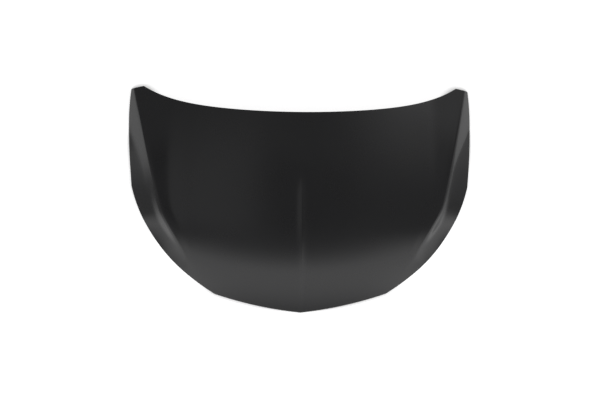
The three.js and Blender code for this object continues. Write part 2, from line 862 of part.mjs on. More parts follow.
function addMastic() {
  const height = fieldDepth + sheetGap - 2 * beadClearance;
  const profile = [
    [0, 0],
    [beadRadius, 0.2 * height],
    [beadRadius, 0.8 * height],
    [0, height],
  ].map(([r, z]) => new THREE.Vector2(r, z));
  let count = 0;
  for (const [column, row] of beadPlaces)
    for (const sign of [-1, 1]) {
      const plan = fieldPatch(between(ribColumns, column), between(rows, row));
      const [x, y] = [sign * plan[0], plan[1]];
      const bead = new THREE.LatheGeometry(profile, 10).rotateX(Math.PI / 2);
      const base = underSkin([x, y], skinThickness + beadClearance + height);
      count += 1;
      const piece = addPiece(`mastic_bead_${count}`, bead, mastic, ...base.toArray());
      piece.quaternion.setFromUnitVectors(new THREE.Vector3(0, 0, 1), skinNormal(x, y));
    }
}

addOuterSkin();
addInnerPanel();
addHingeParts();
addLatchParts();
addMastic();

// The origin lies under the middle of the bonnet, on the plane that it rests on.
bonnet.updateMatrixWorld(true);
const box = new THREE.Box3().setFromObject(bonnet, true);
bonnet.position.set(0, -(box.min.y + box.max.y) / 2, -box.min.z);

export default bonnet;
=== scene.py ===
# Looks of a bare steel car bonnet in black electro-dipped primer, lying on a white studio floor.
# Metres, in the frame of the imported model: X across the car, -Y the nose, +Z out of the skin.
import math

import bmesh
import bpy
import numpy as np
from mathutils import Matrix, Quaternion, Vector


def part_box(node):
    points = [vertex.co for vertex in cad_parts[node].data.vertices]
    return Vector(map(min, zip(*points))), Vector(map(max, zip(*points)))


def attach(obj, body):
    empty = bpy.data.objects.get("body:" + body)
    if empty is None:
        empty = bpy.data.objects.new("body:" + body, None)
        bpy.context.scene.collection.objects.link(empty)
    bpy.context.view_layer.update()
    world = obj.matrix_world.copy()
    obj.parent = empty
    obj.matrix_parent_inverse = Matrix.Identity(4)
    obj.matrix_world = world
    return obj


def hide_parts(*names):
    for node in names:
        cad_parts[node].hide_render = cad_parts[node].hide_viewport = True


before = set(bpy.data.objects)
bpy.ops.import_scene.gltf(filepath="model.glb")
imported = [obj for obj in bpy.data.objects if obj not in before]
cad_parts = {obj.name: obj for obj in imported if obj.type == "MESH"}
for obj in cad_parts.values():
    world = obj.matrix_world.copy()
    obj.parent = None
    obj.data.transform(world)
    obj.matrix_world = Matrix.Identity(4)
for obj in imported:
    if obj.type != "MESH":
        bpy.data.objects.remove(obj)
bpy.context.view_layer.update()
scene = bpy.context.scene
mm = 0.001
print("frame loaded")


# Camera, at the photograph's viewing angle
cameraSizes = {
    "photoWidth": 600,
    "focalPixels": 786.1,
    "distance": 3.3,
    "target": (-0.00505, -0.00111, 0.060),
    "leanToNose": 1.09,  # degrees off the vertical
    "leanToLeft": 2.38,
    "roll": 0.14,
    "sensor": 36.0,
}


def addCamera(sizes):
    camera = bpy.data.cameras.new("camera")
    camera.sensor_width = sizes["sensor"]
    camera.lens = sizes["focalPixels"] / sizes["photoWidth"] * sizes["sensor"]
    seat = bpy.data.objects.new("camera", camera)
    scene.collection.objects.link(seat)
    back = Vector((
        -math.sin(math.radians(sizes["leanToLeft"])),
        -math.sin(math.radians(sizes["leanToNose"])),
        1,
    )).normalized()
    right = Vector((0, 1, 0)).cross(back).normalized()
    right.rotate(Quaternion(back, math.radians(sizes["roll"])))
    up = back.cross(right)
    seat.matrix_world = Matrix.Translation(
        Vector(sizes["target"]) + back * sizes["distance"]
    ) @ Matrix((right, up, back)).transposed().to_4x4()
    scene.camera = seat


addCamera(cameraSizes)


# Plan outline of the right half, in millimetres
outline = {
    "length": 960.3,
    "rearHalfWidth": 720.6,
    "rearTipInset": 55.5,
    "rearTipLead": 10.9,
    "rearBow": 115.1,
    "rearBowEven": 0.572,
    "kinkHalfWidth": 363.6,
    "kinkSetback": 81.5,
    "noseSweep": 0.11,
    "lampCornerInset": 6.7,
    "lampCornerSetback": 536.9,
    "lampStart": (315.9, 33.4),
    "lampEnd": (97.4, 76.4),
    "fenderStart": (147.8, 86.3),
    "fenderEnd": (136.7, 98.4),
}
noseY = -outline["length"] / 2
tipY = outline["length"] / 2
rearCentreY = tipY - outline["rearBow"]
tipX = outline["rearHalfWidth"] - outline["rearTipInset"]
corners = {
    "noseTip": np.array([0.0, noseY]),
    "kink": np.array([outline["kinkHalfWidth"], noseY + outline["kinkSetback"]]),
    "lamp": np.array([
        outline["rearHalfWidth"] - outline["lampCornerInset"],
        noseY + outline["lampCornerSetback"],
    ]),
    "outer": np.array([outline["rearHalfWidth"], tipY - outline["rearTipLead"]]),
    "tip": np.array([tipX, tipY]),
    "rearCentre": np.array([0.0, rearCentreY]),
}

# Form of the skin, in millimetres
form = {
    "crownHeight": 117,
    "apexSetback": 420,
    "rearDrop": 32.1,
    "noseDrop": 85,
    "noseRoll": 2.6,
    "noseRollSweep": 63,
    "noseRollWidth": 463,
    "crownAcross": 45,
    "crownWidth": 700,
    "crownRear": 20,
    "crownRearStart": 537,
    "crownRearRun": 400,
    "creaseBendX": 579.8,
    "creaseBendSetback": 423.5,
    "creaseBendRadius": 33,
    "creaseFrontSlope": 0.593,
    "creaseRearSlope": 0.225,
    "creaseRadius": 6,
    "shoulderFall": 0.78,
    "fenderFall": 0.4,
    "facetWidth": 25,
    "facetRearGain": 40,
    "facetGainStart": 600,
    "facetGainRun": 250,
    "creaseFadeEnd": 160,
    "creaseFadeStart": 380,
    "shoulderRise": 2,
    "shoulderRollWidth": 70,
    "ridgeStart": 122,
    "ridgeEase": 60,
    "ridgeSpread": 0.16,
    "ridgeWidth": 0.5,
    "ridgeRise": 0.035,
    "spineRise": 2.75,  # raised line along the middle, with hollow flanks
    "spineFlare": 3,
    "spineRadius": 1,
    "spineHalfWidth": 42,
    "spineStart": 625,
    "spineFull": 480,
}
apexY = noseY + form["apexSetback"]


# From 0 at start to 1 at end, with level ends
def smooth(start, end, value):
    t = np.clip((value - start) / (end - start), 0, 1)
    return t * t * (3 - 2 * t)


# Half width between the shoulder creases
def creaseX(y):
    along = y - (noseY + form["creaseBendSetback"])
    mean = (form["creaseFrontSlope"] + form["creaseRearSlope"]) / 2
    half = (form["creaseFrontSlope"] - form["creaseRearSlope"]) / 2
    turn = np.hypot(along, form["creaseBendRadius"]) - form["creaseBendRadius"]
    return form["creaseBendX"] + mean * along - half * turn


# Nothing below zero and the distance itself above, with a rounded corner between
def ramp(distance, radius):
    return (distance + np.hypot(distance, radius)) / 2


# Fall of the band outside the crease, and the low rolls beside it
def shoulder(ax, y):
    slope = creaseX(y + 1) - creaseX(y)
    outside = (ax - creaseX(y)) / np.hypot(1, slope)
    gainStart = noseY + form["facetGainStart"]
    gain = smooth(gainStart, gainStart + form["facetGainRun"], y)
    width = form["facetWidth"] + form["facetRearGain"] * gain
    steep = form["shoulderFall"] * ramp(outside, form["creaseRadius"])
    lessSteep = form["shoulderFall"] - form["fenderFall"]
    eased = lessSteep * ramp(outside - width, 2 * form["creaseRadius"])
    roll = form["shoulderRise"] * np.exp(-((outside / form["shoulderRollWidth"]) ** 2))
    ridgeInset = form["ridgeSpread"] * ramp(y - noseY - form["ridgeStart"], form["ridgeEase"])
    ridgeWidth = form["ridgeWidth"] * ridgeInset
    ridge = form["ridgeRise"] * ridgeWidth * np.exp(-(((outside + ridgeInset) / ridgeWidth) ** 2))
    fade = smooth(noseY + form["creaseFadeEnd"], noseY + form["creaseFadeStart"], y)
    return (roll + ridge - steep + eased) * fade


# Height of the skin before it is levelled
def formHeight(x, y):
    ax = np.abs(x)
    rollStart = apexY + form["noseRollSweep"] * (ax / form["noseRollWidth"]) ** 2
    roll = np.maximum(rollStart - y, 0) / form["apexSetback"]
    behind = np.maximum(y - noseY - form["crownRearStart"], 0) / form["crownRearRun"]
    crown = (form["crownAcross"] + form["crownRear"] * behind**2) * (
        ax / form["crownWidth"]
    ) ** 2
    spineFade = 1 - smooth(noseY + form["spineFull"], noseY + form["spineStart"], y)
    flank = np.maximum(1 - np.hypot(x, form["spineRadius"]) / form["spineHalfWidth"], 0)
    spine = form["spineRise"] * flank ** form["spineFlare"]
    back = form["rearDrop"] * ((y - apexY) / (rearCentreY - apexY)) ** 2
    nose = form["noseDrop"] * roll ** form["noseRoll"]
    return form["crownHeight"] - back - nose - crown + spine * spineFade + shoulder(ax, y)


# Slope that brings the outer rear corners down to the height of the nose tip
levelTip = (formHeight(*corners["outer"]) - formHeight(*corners["noseTip"])) / (
    corners["outer"][1] - noseY
)


def skinHeight(x, y):
    return formHeight(x, y) - levelTip * (y - noseY)


# Points of a sheet under the skin: sunk square to it by offset, then straight down
def underSkin(plan, offset, drop=0.0):
    x, y = plan[..., 0], plan[..., 1]
    step = 0.5
    normal = np.stack([
        (skinHeight(x - step, y) - skinHeight(x + step, y)) / (2 * step),
        (skinHeight(x, y - step) - skinHeight(x, y + step)) / (2 * step),
        np.ones_like(x),
    ], -1)
    normal /= np.linalg.norm(normal, axis=-1, keepdims=True)
    surface = np.stack([x, y, skinHeight(x, y) - drop], -1)
    return surface - normal * np.asarray(offset)[..., None]


def rearEdgeY(x):
    u = x / tipX
    even = outline["rearBowEven"]
    return rearCentreY + outline["rearBow"] * (even * u**2 + (1 - even) * u**6)


# Curve by shares of its length, from a length and an angle in degrees at each end
def bezier(start, leave, arrive, end):
    samples = 600

    def step(tangent):
        length, angle = tangent
        turn = math.radians(angle)
        return length * np.array([math.cos(turn), math.sin(turn)])

    t = np.linspace(0, 1, samples)[:, None]
    p, q = start + step(leave), end - step(arrive)
    points = (
        (1 - t) ** 3 * start
        + 3 * (1 - t) ** 2 * t * p
        + 3 * (1 - t) * t**2 * q
        + t**3 * end
    )
    lengths = np.r_[0, np.cumsum(np.linalg.norm(np.diff(points, axis=0), axis=1))]
    shares = lengths / lengths[-1]
    return lambda u: np.stack(
        [np.interp(u, shares, points[:, 0]), np.interp(u, shares, points[:, 1])], -1
    )


# Edges of the right half, at shares from the nose tip round to the middle of the rear
def noseEdge(t):
    half = outline["kinkHalfWidth"]
    x = half * np.asarray(t, float)
    bend = (outline["kinkSetback"] - outline["noseSweep"] * half) / half**2
    return np.stack([x, noseY + outline["noseSweep"] * x + bend * x * x], -1)


def rearEdge(t):
    x = tipX * (1 - np.asarray(t, float))
    return np.stack([x, rearEdgeY(x)], -1)


def chamferEdge(t):
    t = np.asarray(t, float)[..., None]
    return corners["outer"] * (1 - t) + corners["tip"] * t


edges = {
    "nose": noseEdge,
    "lamp": bezier(
        corners["kink"], outline["lampStart"], outline["lampEnd"], corners["lamp"]
    ),
    "fender": bezier(
        corners["lamp"], outline["fenderStart"], outline["fenderEnd"], corners["outer"]
    ),
    "chamfer": chamferEdge,
    "rear": rearEdge,
}
edgeOrder = list(edges)
edgeCorners = ["noseTip", "kink", "lamp", "outer", "tip", "rearCentre"]


# Unit normals into the plan at shares t of an edge
def inwardNormal(name, t):
    step = 1e-3
    along = edges[name](np.minimum(t + step, 1)) - edges[name](np.maximum(t - step, 0))
    along /= np.linalg.norm(along, axis=-1, keepdims=True)
    return np.stack([-along[..., 1], along[..., 0]], -1)


# Corner at one end of an edge, moved in by distance from both edges that meet there
def insetCorner(name, atEnd, distance):
    k = edgeOrder.index(name)
    own = inwardNormal(name, 1.0 if atEnd else 0.0)
    other = k + (1 if atEnd else -1)
    if 0 <= other < len(edgeOrder):
        neighbour = inwardNormal(edgeOrder[other], 0.0 if atEnd else 1.0)
    else:
        neighbour = own * [-1, 1]
    corner = corners[edgeCorners[k + (1 if atEnd else 0)]]
    return corner + distance / (1 + own @ neighbour) * (own + neighbour)


# Points at shares t of an edge that is moved inwards, slid so that its ends meet the corners
def insetPoint(name, t, distance):
    t = np.asarray(t, float)

    def moved(u):
        return edges[name](u) + distance * inwardNormal(name, u)

    start = insetCorner(name, False, distance) - moved(np.float64(0))
    end = insetCorner(name, True, distance) - moved(np.float64(1))
    return moved(t) + start * (1 - t[..., None]) + end * t[..., None]


# Mesh lines of both sheets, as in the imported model
layout = {
    "innerColumns": 12,
    "bandColumns": 3,
    "creaseFoot": 0.88,
    "creaseEase": 0.3,  # share along in which its mesh line joins the crease
    "lampRow": 0.545,
    "flangeWidth": 14,
}
halfColumns = layout["innerColumns"] + layout["bandColumns"]


# Share along the chamfered corner at which the crease reaches it
def creaseShare(distance):
    x, y = insetPoint("chamfer", 0.0, distance)
    endX, endY = insetPoint("chamfer", 1.0, distance)
    share = 0.0
    for attempt in range(4):
        share = (x - creaseX(y + (endY - y) * share)) / (x - endX)
        share = min(max(share, 0.05), 0.9)
    return share


# Points of the nose edge, moved in by distance, at columns c
def nosePoint(c, distance):
    inner = layout["innerColumns"]
    foot = layout["creaseFoot"]
    t = np.where(
        c <= inner, foot * c / inner, foot + (1 - foot) * (c - inner) / layout["bandColumns"]
    )
    return insetPoint("nose", t, distance)


# The same at the rear, where the columns run on round the chamfered corner
def rearPoint(c, distance):
    inner = layout["innerColumns"]
    crease = creaseShare(distance)
    onRear = insetPoint("rear", 1 - np.minimum(c, inner - 1) / (inner - 1), distance)
    beside = np.clip(c - (inner - 1), 0, 1)
    band = np.clip((c - inner) / layout["bandColumns"], 0, 1)
    share = (1 - (1 - crease) * beside) * (1 - band)
    onChamfer = insetPoint("chamfer", share, distance)
    return np.where((c < inner - 1)[..., None], onRear, onChamfer)


# The same along the side, at rows v
def sidePoint(v, distance):
    row = layout["lampRow"]
    lamp = insetPoint("lamp", np.clip(v / row, 0, 1), distance)
    fender = insetPoint("fender", np.clip((v - row) / (1 - row), 0, 1), distance)
    return np.where((v < row)[..., None], lamp, fender)


# Blends four edges, given as point arrays, over shares s across and v along
def patch(s, v, bottom, top, left, right):
    s, v = s[None, :, None], v[:, None, None]
    across = left[:, None] * (1 - s) + right[:, None] * s
    along = bottom[None] * (1 - v) + top[None] * v
    near = bottom[0] * (1 - s) + bottom[-1] * s
    far = top[0] * (1 - s) + top[-1] * s
    return across + along - near * (1 - v) - far * v


# Plan points of the right half of the skin, inside the flange, for columns c and rows v
def skinPlan(c, v):
    inner = layout["innerColumns"]
    flange = layout["flangeWidth"]
    bottom, top = nosePoint(c, flange), rearPoint(c, flange)
    k = int(np.searchsorted(c, inner))
    foot, end = bottom[k], top[k]
    y = foot[1] + (end[1] - foot[1]) * v
    away = (creaseX(foot[1]) - foot[0]) * (1 - smooth(0, layout["creaseEase"], v))
    crease = np.stack([creaseX(y) - away, y], -1)
    middle = bottom[0] + (top[0] - bottom[0]) * v[:, None]
    dome = patch(c[: k + 1] / inner, v, bottom[: k + 1], top[: k + 1], middle, crease)
    share = (c[k:] - inner) / layout["bandColumns"]
    band = patch(share, v, bottom[k:], top[k:], crease, sidePoint(v, flange))
    return np.concatenate([dome, band[:, 1:]], 1)


# Mirrors a block of points from the right half, whose first column is the centre line
def bothHalves(half):
    flip = half[:, :0:-1] * [-1, 1]
    return np.concatenate([flip, half], 1)


# Outline moved inwards, once round, counter-clockwise from the left of the nose
def aroundEdge(c, v, distance):
    nose, rear, side = nosePoint(c, distance), rearPoint(c, distance), sidePoint(v, distance)
    flip = np.array([-1, 1])
    return np.concatenate([
        nose[:0:-1] * flip,
        nose[:-1],
        side[:-1],
        rear[:0:-1],
        rear[:-1] * flip,
        side[:0:-1] * flip,
    ])


# Mesh of a grid of points and the closed rings that carry it on past its edge
def sheetMesh(name, grid, rings):
    rowCount, columnCount = grid.shape[:2]
    index = np.arange(rowCount * columnCount).reshape(rowCount, columnCount)
    faces = [np.stack(
        [index[:-1, :-1], index[:-1, 1:], index[1:, 1:], index[1:, :-1]], -1
    ).reshape(-1, 4)]
    loop = np.concatenate([
        index[0, :-1], index[:-1, -1], index[-1, :0:-1], index[:0:-1, 0]
    ])
    points, count = [grid.reshape(-1, 3)], rowCount * columnCount
    for ring in rings:
        following = np.arange(count, count + len(ring))
        faces.append(np.stack(
            [following, np.roll(following, -1), np.roll(loop, -1), loop], -1
        ))
        points.append(ring)
        loop, count = following, count + len(ring)
    mesh = bpy.data.meshes.new(name)
    mesh.from_pydata(np.concatenate(points).tolist(), [], np.concatenate(faces).tolist())
    mesh.shade_smooth()
    return mesh


# Where the sheets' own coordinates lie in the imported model
skinLow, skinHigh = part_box("outer_skin")


def toFrame(points):
    return (points * frameFit + frameShift) * mm


def fromFrame(point):
    return (np.array(point) / mm - frameShift) / frameFit


def addPiece(name, mesh, material, nodes):
    piece = bpy.data.objects.new(name, mesh)
    scene.collection.objects.link(piece)
    mesh.materials.clear()
    mesh.materials.append(material)
    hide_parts(*nodes)
    return piece


# Outer skin
skinSizes = {
    "thickness": 0.7,
    "gap": 0.3,
    "panel": 0.6,
    "hemWidth": 11,
    "hemStart": 3.5,
    "edgeRings": (6.0, 2.5),  # insets of the last rings before the fold
    "foldInset": 1.2,
    "innerSteps": 6,  # fine columns in each coarse one, away from the crease
    "spineSteps": 14,
    "creaseSteps": 12,
    "rowSteps": 120,
    "foldSteps": 8,
}


def spacedColumns(sizes):
    inner = layout["innerColumns"]
    spine = np.linspace(0, 1, sizes["spineSteps"] + 1) ** 2
    plain = np.linspace(1, inner - 1, (inner - 2) * sizes["innerSteps"] + 1)
    outside = (1 + layout["bandColumns"]) * sizes["creaseSteps"]
    crease = np.linspace(inner - 1, halfColumns, outside + 1)
    return np.concatenate([spine, plain[1:], crease[1:]])


# Row shares, with one on the corner between the headlamp and fender edges
def spacedRows(count):
    row = layout["lampRow"]
    below = round(count * row)
    front, back = np.linspace(0, row, below + 1), np.linspace(row, 1, count - below + 1)
    return np.concatenate([front, back[1:]])


# Inset and depth of the skin's outer side, from the fold's start to the hem's edge
def hemSection(sizes):
    depth = 2 * sizes["thickness"] + sizes["panel"] + 2 * sizes["gap"]
    turn = np.linspace(0, math.pi, sizes["foldSteps"] + 1)
    edge = [(inset, 0.0) for inset in sizes["edgeRings"]]
    fold = list(zip(sizes["foldInset"] * (1 - np.sin(turn)), depth * (1 - np.cos(turn)) / 2))
    return edge + fold + [(sizes["hemStart"], depth), (sizes["hemWidth"], depth)]


def makeOuterSkin(sizes):
    columns, rows = spacedColumns(sizes), spacedRows(sizes["rowSteps"])
    grid = underSkin(bothHalves(skinPlan(columns, rows)), 0.0)
    rings = [
        underSkin(aroundEdge(columns, rows, inset), depth)
        for inset, depth in hemSection(sizes)
    ]
    return grid, rings


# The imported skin's box holds the finer one, which is drawn in by under a millimetre to fit
skinGrid, skinRings = makeOuterSkin(skinSizes)
allSkin = np.concatenate([skinGrid.reshape(-1, 3), *skinRings])
fineLow, fineHigh = allSkin.min(axis=0), allSkin.max(axis=0)
frameFit = np.minimum(np.array(skinHigh - skinLow) / mm / (fineHigh - fineLow), 1)
middle = np.array(skinLow + skinHigh) / 2 / mm - frameFit * (fineLow + fineHigh) / 2
frameShift = np.array([0.0, middle[1], skinLow.z / mm - frameFit[2] * fineLow[2]])
print("skin shape worked out")


# Finishes
def setInputs(tree, node, values):
    for key, value in values.items():
        if isinstance(value, bpy.types.NodeSocket):
            tree.links.new(value, node.inputs[key])
        else:
            node.inputs[key].default_value = value


# Adds a node whose inputs are plain values or outputs of other nodes
def addNode(tree, kind, values=None, **settings):
    node = tree.nodes.new(kind)
    for key, value in settings.items():
        setattr(node, key, value)
    setInputs(tree, node, values or {})
    return node


def maths(tree, operation, first, second, third=0.0):
    values = {0: first, 1: second, 2: third}
    return addNode(tree, "ShaderNodeMath", values, operation=operation).outputs[0]


def newMaterial(name):
    material = bpy.data.materials.new(name)
    material.use_nodes = True
    return material, material.node_tree, material.node_tree.nodes["Principled BSDF"]


def noise(tree, scale, detail):
    place = addNode(tree, "ShaderNodeTexCoord").outputs["Object"]
    values = {"Vector": place, "Scale": scale, "Detail": detail}
    return addNode(tree, "ShaderNodeTexNoise", values).outputs["Fac"]


def tint(tree, share, look):
    values = {0: share, 6: (*look["dark"], 1), 7: (*look["pale"], 1)}
    return addNode(tree, "ShaderNodeMix", values, data_type="RGBA").outputs[2]


def bump(tree, height, strength, distance):
    values = {"Height": height, "Strength": strength, "Distance": distance}
    return addNode(tree, "ShaderNodeBump", values).outputs["Normal"]


# Black electro-dipped primer: fine orange peel, faint cloudiness and uneven gloss
def eCoatMaterial(name, look):
    material, tree, shader = newMaterial(name)
    cloud = noise(tree, look["cloudScale"], look["cloudDetail"])
    peel = noise(tree, look["peelScale"], look["peelDetail"])
    gloss = addNode(tree, "ShaderNodeMapRange", {
        "Value": cloud,
        "From Min": look["cloudRange"][0],
        "From Max": look["cloudRange"][1],
        "To Min": look["roughness"] - look["roughnessSpread"],
        "To Max": look["roughness"] + look["roughnessSpread"],
    })
    setInputs(tree, shader, {
        "Base Color": tint(tree, cloud, look),
        "Roughness": gloss.outputs["Result"],
        "Normal": bump(tree, peel, look["peelStrength"], look["peelHeight"]),
        "IOR": look["ior"],
    })
    return material


outerLook = {
    "dark": (0.0125, 0.0125, 0.0135),
    "pale": (0.0150, 0.0150, 0.0160),
    "cloudScale": 7,
    "cloudDetail": 3,
    "cloudRange": (0.3, 0.7),
    "roughness": 0.14,
    "roughnessSpread": 0.012,
    "peelScale": 420,
    "peelDetail": 2,
    "peelStrength": 0.25,
    "peelHeight": 0.00002,
    "ior": 1.5,
}
innerLook = {
    **outerLook,
    "roughness": 0.42,
    "dark": (0.0115, 0.0115, 0.0122),
    "pale": (0.0150, 0.0150, 0.0158),
}
eCoatOuter = eCoatMaterial("eCoatOuter", outerLook)
eCoatInner = eCoatMaterial("eCoatInner", innerLook)

skin = addPiece(
    "outerSkin",
    sheetMesh("outerSkin", toFrame(skinGrid), [toFrame(ring) for ring in skinRings]),
    eCoatOuter,
    ["outer_skin"],
)
wall = skin.modifiers.new("wall", "SOLIDIFY")
wall.thickness = skinSizes["thickness"] * mm
wall.offset = -1
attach(skin, "root")
print("outer skin made")

# Inner panel, in millimetres, and in shares across half of its field and along it
panelSizes = {
    "thickness": 0.6,
    "noseBorder": 150,
    "sideBorder": 118,
    "rearBorder": 120,
    "channelDepth": 21,
    "footDrop": 5,
    "fieldDepth": 5,
    "ribDepth": 17,
    "footShare": 0.1,
    "middleShare": 0.5,
    "wallShare": 0.88,
    "edgeInset": 1.9,
    "flangeOffset": 1.0,
    "ribs": [(-0.1, -0.1, 0.055, 0.082), (0.338, 0.365, 0.475, 0.502), (0.7, 0.725, 0.83, 0.855)],
    "crossRib": (0.425, 0.445, 0.525, 0.545),
    "hingeSeat": (0.71, 0.765, 0.92, 0.96),
    "latchColumns": (3, 4),
    "holeRadius": 4.5,
    "holePitch": 36,
    "propHole": (455, 215, 7),
    "windowsAcross": [(0.11, 0.31), (0.53, 0.672)],
    "windowsAlong": [(0.02, 0.2), (0.235, 0.405), (0.565, 0.71), (0.745, 0.86)],
    "windowCorner": 0.36,
    "rimRadius": 1.5,
    "rimSides": 10,
    "columnSteps": 5,
    "rowSteps": 110,
    "bendSteps": 6,
    "bendLength": 9,
    "sharpAngle": 40,
}
# Shares across the field of its mesh lines, which follow the flanks of the ribs
ribColumns = [
    0, 0.055, 0.082, 0.165, 0.25, 0.338, 0.365, 0.475, 0.502, 0.6, 0.7, 0.725, 0.83, 0.855, 0.93, 1,
]


# Rear end of the field, at shares across
def rearBorder(s):
    x = borderCorner[0] * s
    slope = rearEdgeY(x + 1) - rearEdgeY(x)
    return np.stack([x, rearEdgeY(x) - panelSizes["rearBorder"] * np.hypot(1, slope)], -1)


cornerX = outline["rearHalfWidth"] - panelSizes["sideBorder"]
cornerSlope = rearEdgeY(cornerX + 1) - rearEdgeY(cornerX)
borderCorner = np.array([
    cornerX, rearEdgeY(cornerX) - panelSizes["rearBorder"] * math.hypot(1, cornerSlope)
])


# Side of the field, at a share along
def sideBorder(v):
    row = layout["lampRow"]
    start = insetPoint("nose", 1.0, panelSizes["noseBorder"])
    turn = insetPoint("fender", 0.0, panelSizes["sideBorder"])
    if v >= row:
        return turn + (borderCorner - turn) * (v - row) / (1 - row)
    share = v / row
    blend = smooth(0, 1, share)
    away = panelSizes["noseBorder"] * (1 - blend) + panelSizes["sideBorder"] * blend
    near = start - insetPoint("lamp", 0.0, away)
    far = turn - insetPoint("lamp", 1.0, away)
    return insetPoint("lamp", share, away) + near * (1 - share) + far * share


sideShares = np.linspace(0, 1, 401)
sidePoints = np.array([sideBorder(v) for v in sideShares])


# Plan points of the panel's field at shares s and v, which may be arrays
def fieldPlan(s, v):
    s, v = np.broadcast_arrays(np.asarray(s, float), np.asarray(v, float))
    nose, rear = insetPoint("nose", s, panelSizes["noseBorder"]), rearBorder(s)
    side = np.stack([np.interp(v, sideShares, sidePoints[:, k]) for k in (0, 1)], -1)
    noseEnds = [insetPoint("nose", end, panelSizes["noseBorder"]) for end in (0.0, 1.0)]
    rearEnds = [rearBorder(np.float64(end)) for end in (0.0, 1.0)]
    s, v = s[..., None], v[..., None]
    middle = noseEnds[0] * (1 - v) + rearEnds[0] * v
    ends = (noseEnds[0] * (1 - s) + noseEnds[1] * s) * (1 - v) + (
        rearEnds[0] * (1 - s) + rearEnds[1] * s
    ) * v
    return middle * (1 - s) + side * s + nose * (1 - v) + rear * v - ends


# 1 between the two middle marks and 0 outside the outer two
def plateau(marks, value):
    rise, full, end, foot = marks
    return smooth(rise, full, value) * (1 - smooth(end, foot, value))


# Depth of the field below its own plane, with the ribs deeper
def ribDrop(s, v):
    bare = 1 - plateau(panelSizes["crossRib"], v)
    for rib in panelSizes["ribs"]:
        bare = bare * (1 - (plateau(rib, s) if rib[0] >= 0 else 1 - smooth(rib[2], rib[3], s)))
    deeper = panelSizes["ribDepth"] - panelSizes["fieldDepth"]
    return panelSizes["fieldDepth"] + deeper * (1 - bare)


# Loop round a block, in the same order as the rings of sheetMesh
def roundLoop(block):
    return np.concatenate([block[0, :-1], block[:-1, -1], block[-1, :0:-1], block[:0:-1, 0]])


# Rings between key rings, with each key ring's corner rounded over a length
def roundedRings(keys, length, steps):
    most = 0.45  # of the way to the next key ring
    rings = []
    for before, at, after in zip(keys, keys[1:], keys[2:]):
        toBefore, toAfter = before - at, after - at
        reachBefore = np.linalg.norm(toBefore, axis=-1, keepdims=True)
        reachAfter = np.linalg.norm(toAfter, axis=-1, keepdims=True)
        start = at + toBefore / reachBefore * np.minimum(length, most * reachBefore)
        end = at + toAfter / reachAfter * np.minimum(length, most * reachAfter)
        for t in np.linspace(0, 1, steps + 1):
            rings.append(start * (1 - t) ** 2 + 2 * at * t * (1 - t) + end * t**2)
    return rings + [keys[-1]]


hingePlate = [fromFrame(corner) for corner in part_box("hinge_reinforcement_right")]
latchPlate = [fromFrame(corner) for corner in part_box("latch_reinforcement")]


def makeInnerPanel(sizes):
    columns = np.linspace(0, halfColumns, halfColumns * sizes["columnSteps"] + 1)
    rows = spacedRows(sizes["rowSteps"])
    shares = np.interp(columns, range(halfColumns + 1), ribColumns)
    s, v = np.meshgrid(shares, rows)
    plan = bothHalves(fieldPlan(s, v))
    offset = sizes["flangeOffset"]
    drop = np.concatenate([ribDrop(s, v)[:, :0:-1], ribDrop(s, v)], 1)
    grid = underSkin(plan, offset, drop)
    inside = roundLoop(plan)
    allColumns = np.concatenate([-columns[:0:-1], columns])
    column, row = [roundLoop(block) for block in np.meshgrid(allColumns, rows)]
    flange = aroundEdge(columns, rows, layout["flangeWidth"])
    onSide = np.isclose(np.abs(column), halfColumns)
    hinge = np.where(onSide, plateau(sizes["hingeSeat"], row), 0)[:, None]
    latch = np.where(
        np.isclose(row, 0), 1 - smooth(*sizes["latchColumns"], np.abs(column)), 0
    )[:, None]
    hingeZ = hingePlate[0][2] - skinSizes["gap"]
    latchZ = latchPlate[0][2] - skinSizes["gap"]

    def channel(share, drop, seated):
        at = flange * (1 - share) + inside * share
        points = underSkin(at, offset, drop)
        if seated:
            for weight, z in ((hinge, hingeZ), (latch, latchZ)):
                seat = np.concatenate([at, np.full((len(at), 1), z)], 1)
                points = points * (1 - weight) + seat * weight
        return points

    middle = flange * (1 - sizes["middleShare"]) + inside * sizes["middleShare"]
    foot = flange * (1 - sizes["footShare"]) + inside * sizes["footShare"]
    floor = skinHeight(middle[:, 0], middle[:, 1]) - sizes["channelDepth"]
    footDrop = np.clip(
        skinHeight(foot[:, 0], foot[:, 1]) - floor, sizes["footDrop"], sizes["channelDepth"]
    )
    keys = [
        roundLoop(grid),
        channel(sizes["wallShare"], sizes["channelDepth"], True),
        channel(sizes["middleShare"], sizes["channelDepth"], True),
        channel(sizes["footShare"], footDrop, False),
        underSkin(flange, offset),
        underSkin(aroundEdge(columns, rows, sizes["edgeInset"]), offset),
    ]
    return grid, roundedRings(keys, sizes["bendLength"], sizes["bendSteps"])


# Closed outline of a rounded window, as points on the plan
def windowOutline(across, along, corner):
    cornerSteps, sideSteps = 12, 6
    quarter = np.repeat(np.arange(4), cornerSteps)
    within = np.tile(np.arange(cornerSteps) / cornerSteps, 4)
    turn = (quarter + within) * math.pi / 2
    sx, sy = np.array([1, -1, -1, 1])[quarter], np.array([1, 1, -1, -1])[quarter]
    a = sx * (1 - corner) + corner * np.cos(turn)
    b = sy * (1 - corner) + corner * np.sin(turn)
    s = across[0] + (across[1] - across[0]) * (a + 1) / 2
    v = along[0] + (along[1] - along[0]) * (b + 1) / 2
    at = np.arange(len(s) * sideSteps) / sideSteps
    s = np.interp(at, range(len(s) + 1), np.r_[s, s[0]])
    v = np.interp(at, range(len(v) + 1), np.r_[v, v[0]])
    return s, v


# Angles of a full turn in even steps, without its end
def fullTurn(steps):
    return np.arange(steps) * 2 * math.pi / steps


def ringOutline(x, y, radius):
    turn = fullTurn(32)
    return np.stack([x + radius * np.cos(turn), y + radius * np.sin(turn)], -1)


